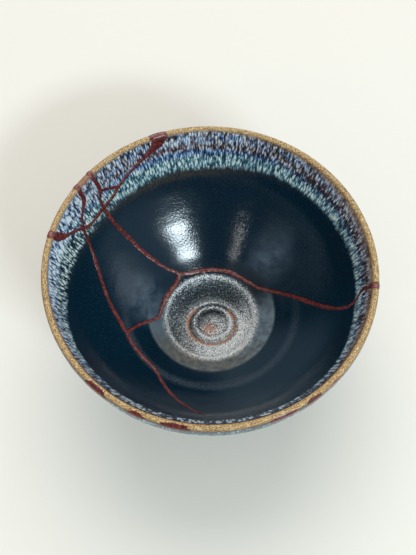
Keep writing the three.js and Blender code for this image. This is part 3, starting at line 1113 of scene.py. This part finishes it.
def dish_colour(glaze):
    """The dish, speckled with painted sparkle, with painted light on its near and right side and on the
    crests of its rings, and painted shade in its grooves.
    """
    place = glaze.place
    # painted light on the near and right side, painted highlights on the crests and painted shade in the
    # grooves
    lit = (glaze.rightward * 0.7 - glaze.far * 0.8).rise(-0.3, 0.9)
    light = 0.30 + lit * 0.34 + circle(place, *OUTER_CREST) * (0.50 - lit * 0.2)
    light = light + circle(place, *OUTER_GROOVE) * lit * 0.20
    light = light + circle(place, *MIDDLE_CREST) * (0.36 - lit * 0.1)
    light = light - circle(place, *MIDDLE_GROOVE) * 0.24
    light = light + circle(place, *INNER_CREST) * 0.42
    light = light - circle(place, *INNER_GROOVE) * (glaze.far + 0.4).clamped() * 0.40
    light = light - circle(place, *SHADED_GROOVE) * glaze.far.rise(-0.1, 0.7) * 0.24
    light = light + circle(place, *CENTRE_KNOB) * 0.45
    return (light - 0.02 + (glaze.sparkle - 0.5) * 3.3).ramp(*DISH_GREYS)


def collar_colour(glaze):
    """The smooth dry collar round the dish, with painted sheen at its sides, painted light at its right and
    painted shade at its far side.
    """
    dry = glaze.smoke.ramp(*DRY_GREYS)
    # painted sheen at the sides, painted light at the right and painted shade at the far side
    dry = glaze.far.absolute().rise(0.8, 0.1).over(dry, COLLAR_SIDE_SHEEN)
    dry = (glaze.rightward * glaze.smoke.rise(0.2, 0.7)).rise(0.2, 1.0).over(dry, COLLAR_PAINTED_LIGHT)
    return glaze.far.rise(0.0, 0.5).over(dry, COLLAR_PAINTED_SHADE)


def well_colour(glaze):
    """The dish and its collar, with rust along the middle ring, in the centre and in a few spots."""
    place = glaze.place
    grey = glaze.collar.over(dish_colour(glaze), collar_colour(glaze))
    patchy = place.noise(0.16, 2, 0.5).rise(0.30, 0.44)
    on_ring = patchy * glaze.far.rise(0.75, 0.3) * glaze.smoke.rise(0.3, 0.5)
    rust = circle(place, *RUST_RING) * on_ring
    rust = rust + circle(place, *RUST_CENTRE) * place.noise(0.5, 2, 0.6).rise(0.38, 0.50)
    rust = rust + circle(place, *RUST_SPOTS) * place.noise(0.45, 2, 0.6).rise(0.56, 0.66) * 0.7
    return (rust.clamped() * 0.85).over(grey, RUST)


def lip_and_below(glaze, below):
    """The lip, tan where the glaze has run off it, between two dark lines and with a little red."""
    tan = (glaze.run.rise(-0.5, -1.4) * 0.5).over(glaze.grain.ramp(*LIP_TAN), LIP_OUTER_TAN)
    glazed = (glaze.off_lip - glaze.right * 0.5 - glaze.near * 0.3).rise(1.35, 2.0)
    dark_line = (glaze.run + (glaze.grain - 0.5) * 0.8).hump(-2.0, 0.6)
    colour = (dark_line * 0.8).over(glazed.over(tan, below), LIP_DARK_LINE)
    return (glaze.stain * (glaze.grain * 2.0 - 0.2).clamped()).over(colour, LIP_RED)


def foot_and_above(glaze, above):
    """Bare clay at and under the foot, below the brown end of the glaze."""
    clay = glaze.place.noise(1.1, 4, 0.7).ramp(*BARE_CLAY)
    colour = (glaze.foot_edge.rise(-0.9, -0.1) * 0.85).over(above, GLAZE_END)
    return glaze.bare.over(colour, clay)


def glazed_stoneware():
    """The bowl's one glaze: a tan lip, a mottled pale blue band run down in streaks, blue-black below,
    a dry grey well with rust in its rings, and bare clay at the foot."""
    material, shader, start = new_material("glazed_stoneware")
    glaze = Glaze(start)
    inside = glaze.well.over(wall_colour(glaze), well_colour(glaze))
    colour = foot_and_above(glaze, lip_and_below(glaze, inside))

    in_band = 1 - glaze.ragged.rise(0.9, 1.05)
    on_lip = 1 - glaze.off_lip.rise(1.2, 2.0)
    glazed_roughness = 0.16 + in_band * 0.10 + glaze.well * 0.14 + on_lip * 0.3
    roughness = glaze.bare * 0.85 + (1 - glaze.bare) * glazed_roughness

    peel = glaze.place.noise(1.1, 1, 0.5) * 0.052 + glaze.place.noise(2.4, 1, 0.5) * 0.016
    grit = glaze.place.noise(2.4, 2, 0.7) * 0.08 * glaze.bare
    speckle = glaze.sparkle * glaze.well * (0.02 + (1 - glaze.collar) * 0.05)
    height = peel + glaze.tone * in_band * 0.10 + speckle + grit + glaze.grain * on_lip * 0.10
    connect(start.tree, shader, {
        "Base Color": colour, "Roughness": roughness.clamped(), "Normal": bump_of(start, height), "IOR": 1.5,
    })
    return material


# The lacquer's finish

LACQUER_REDS = ((0.36, srgb(62, 24, 24)), (0.5, srgb(96, 38, 36)), (0.64, srgb(130, 62, 56)))
# pale worn lacquer on the far lip, also used as the painted sheen on the seams by the well
WORN_LACQUER_AND_SHEEN = srgb(150, 102, 96)


def red_lacquer():
    """Dark red-brown lacquer, glossy and a little rippled, worn pale on the far lip, with a painted pale
    sheen by the well.
    """
    material, shader, start = new_material("red_lacquer")
    place = place_in_mm(start)
    ripple = place.noise(0.9, 3, 0.6)
    colour = (ripple * 0.7 + place.noise(0.12, 2, 0.5) * 0.3).ramp(*LACQUER_REDS)
    height = place.axis("Z")
    far_lip = height.rise(71.6, 73.2) * place.axis("Y").rise(-34, -4)
    # painted sheen on the seams low by the well
    sheen_by_well = (1 - height.rise(18.0, 26.0)) * 0.8
    # worn pale on the far lip, and painted sheen by the well
    worn = place.noise(0.8, 2, 0.6).rise(0.36, 0.6) * 0.6 * (far_lip + sheen_by_well)
    connect(start.tree, shader, {
        "Base Color": worn.over(colour, WORN_LACQUER_AND_SHEEN),
        "Roughness": 0.16 + place.noise(0.5, 2, 0.5) * 0.18,
        "Normal": bump_of(start, ripple * 0.12),
        "IOR": 1.5,
    })
    return material


# Breaking and mending the bowl

SHARP_ANGLE = math.radians(42)


def finish_piece(piece, name, material, node):
    """Names a piece, gives it its material and puts it in the place of its solid."""
    piece.name = name
    piece.data.name = name
    piece.data.materials.clear()
    piece.data.materials.append(material)
    piece.data.polygons.foreach_set("use_smooth", [True] * len(piece.data.polygons))
    piece.data.set_sharp_from_angle(angle=SHARP_ANGLE)
    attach(piece, "root")
    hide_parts(node)


def chip_the_bowl(bowl):
    """Takes each chip's bite out of the bowl, and returns the bowl and the lacquer that fills them."""
    bites = [chip_bite(*chip, 70 + count) for count, chip in enumerate(CHIPS.values())]
    fills = {}
    for (name, (start, end, depth)), bite in zip(CHIPS.items(), bites):
        cutter = bite.copy()
        cutter.data = bite.data.copy()
        bpy.context.scene.collection.objects.link(cutter)
        fills[name] = combine(fill_blank(start, end), bite, "INTERSECT")
        bowl = combine(bowl, cutter, "DIFFERENCE")
    return bowl, fills


def sherd_at(parts, azimuth, run):
    """The points and faces of the part that lies nearest to a spot on the wall."""
    spot = wall(azimuth, run)
    return min(parts, key=lambda part: np.min(np.linalg.norm(part[0] - spot, axis=1)))


stoneware_glaze = glazed_stoneware()
lacquer = red_lacquer()

chipped_bowl, chip_fills = chip_the_bowl(turned_bowl())
broken_bowl = combine(chipped_bowl, all_seams(SEAM_LAP, 0.0, CUTTER_REACH), "DIFFERENCE")
sherd_parts = loose_parts(broken_bowl)
bpy.data.objects.remove(broken_bowl)
for sherd_name, sherd_spot in SHERDS.items():
    sherd = mesh_object(sherd_name, *sherd_at(sherd_parts, *sherd_spot))
    glaze_attributes(sherd)
    finish_piece(sherd, sherd_name + "_glazed", stoneware_glaze, sherd_name)

finish_piece(all_seams(0.0, SEAM_RISE, 0.0), "lacquer_seams_brushed", lacquer, "lacquer_seams")
for fill_name, chip_fill in chip_fills.items():
    finish_piece(chip_fill, fill_name + "_brushed", lacquer, fill_name)


# Floor, lights and camera

FLOOR_HALF = 9000
FLOOR_COLOUR = srgb(233, 230, 221)
LIGHTS_AIM = Vector((0, 0, 0.04))
SOFT_LIGHTS = [
    {
        "name": "overhead_back", "azimuth": 92, "elevation": 51, "distance": 2.6,
        "width": 2.4, "height": 2.1, "radiance": 2.75, "colour": (1.0, 0.99, 0.97),
    },
    {
        "name": "front_right", "azimuth": -57, "elevation": 38, "distance": 1.5,
        "width": 0.40, "height": 0.18, "radiance": 52, "colour": (0.78, 0.93, 1.0),
    },
    {
        "name": "front_left", "azimuth": -120, "elevation": 37, "distance": 1.5,
        "width": 0.045, "height": 0.045, "radiance": 75, "colour": (1.0, 0.98, 0.9),
    },
]
WARM_WHITE = (0.97, 0.97, 0.96, 1)
COOL_WHITE = (0.74, 0.88, 1.0, 1)
GLOWS = [(-153, 32, 18, 0.6), (9, 25, 19, 1.5)]  # as (azimuth, elevation, spread, strength)
DIM_MIRRORED = 0.07
BACKGROUND_LEVEL = 0.86
FILL_LEVEL = 0.51
CAMERA_PLACE = Vector((-0.6, -148.5, 383.2)) * MM
CAMERA_ELEVATION = math.radians(65.294)
CAMERA_ROLL = math.radians(0.676)
LENS_MM = 50
FILM_MM = 36


def plain_floor():
    """The pale floor that the bowl stands on."""
    corners = [(x * FLOOR_HALF, y * FLOOR_HALF, 0) for x, y in ((-1, -1), (1, -1), (1, 1), (-1, 1))]
    floor = mesh_object("floor", corners, [(0, 1, 2, 3)])
    material, shader, start = new_material("pale_floor")
    connect(start.tree, shader, {"Base Color": FLOOR_COLOUR, "Roughness": 0.9})
    floor.data.materials.append(material)


def direction_to(azimuth, elevation):
    """The way from the bowl to something at an azimuth and an elevation."""
    a, e = math.radians(azimuth), math.radians(elevation)
    return Vector((math.cos(a) * math.cos(e), math.sin(a) * math.cos(e), math.sin(e)))


def softbox(name, azimuth, elevation, distance, width, height, radiance, colour):
    """A flat soft light that faces the bowl, its sizes in metres."""
    light = bpy.data.lights.new(name, "AREA")
    light.shape = "RECTANGLE"
    light.size, light.size_y = width, height
    light.energy = radiance * math.pi * width * height
    light.color = colour
    toward = direction_to(azimuth, elevation)
    lamp = bpy.data.objects.new(name, light)
    lamp.rotation_euler = toward.to_track_quat("Z", "Y").to_euler()
    lamp.location = LIGHTS_AIM + toward * distance
    bpy.context.scene.collection.objects.link(lamp)


def glow(direction, azimuth, elevation, spread, strength):
    """A soft bright patch of the studio, seen in the glaze."""
    facing = direction.vector_math("DOT_PRODUCT", direction_to(azimuth, elevation), "Value")
    return facing.rise(math.cos(math.radians(spread)), 1.0) * strength


def soft_studio():
    """The studio: pale to the camera, and dim in the glaze but for soft glows at its sides."""
    world = bpy.data.worlds.new("studio")
    world.use_nodes = True
    tree = world.node_tree
    start = Wire(tree, None)
    direction = start.node("ShaderNodeTexCoord", {}, {}, "Generated")
    mirrored = sum((glow(direction, *spec) for spec in GLOWS), DIM_MIRRORED)
    seen = start.node("ShaderNodeLightPath", {}, {}, "Is Camera Ray")
    glossy = start.node("ShaderNodeLightPath", {}, {}, "Is Glossy Ray")
    strength = glossy * mirrored + seen * BACKGROUND_LEVEL + (1 - glossy) * (1 - seen) * FILL_LEVEL
    colour = glossy.over(WARM_WHITE, COOL_WHITE)
    connect(tree, tree.nodes["Background"], {"Color": colour, "Strength": strength})
    bpy.context.scene.world = world


def photo_camera():
    """A camera at the photo's angle, with its slight roll."""
    forward = Vector((0, math.cos(CAMERA_ELEVATION), -math.sin(CAMERA_ELEVATION)))
    level = Vector((1, 0, 0))
    upright = Vector((0, math.sin(CAMERA_ELEVATION), math.cos(CAMERA_ELEVATION)))
    side = level * math.cos(CAMERA_ROLL) + upright * math.sin(CAMERA_ROLL)
    top = upright * math.cos(CAMERA_ROLL) - level * math.sin(CAMERA_ROLL)
    lens = bpy.data.cameras.new("camera")
    lens.lens = LENS_MM
    lens.sensor_width = FILM_MM
    lens.clip_start = 0.01
    camera = bpy.data.objects.new("camera", lens)
    turned = Matrix((side, top, -forward)).transposed().to_4x4()
    camera.matrix_world = Matrix.Translation(CAMERA_PLACE) @ turned
    bpy.context.scene.collection.objects.link(camera)
    bpy.context.scene.camera = camera


plain_floor()
soft_studio()
for soft_light in SOFT_LIGHTS:
    softbox(**soft_light)
photo_camera()
bpy.context.scene.view_settings.view_transform = "Standard"
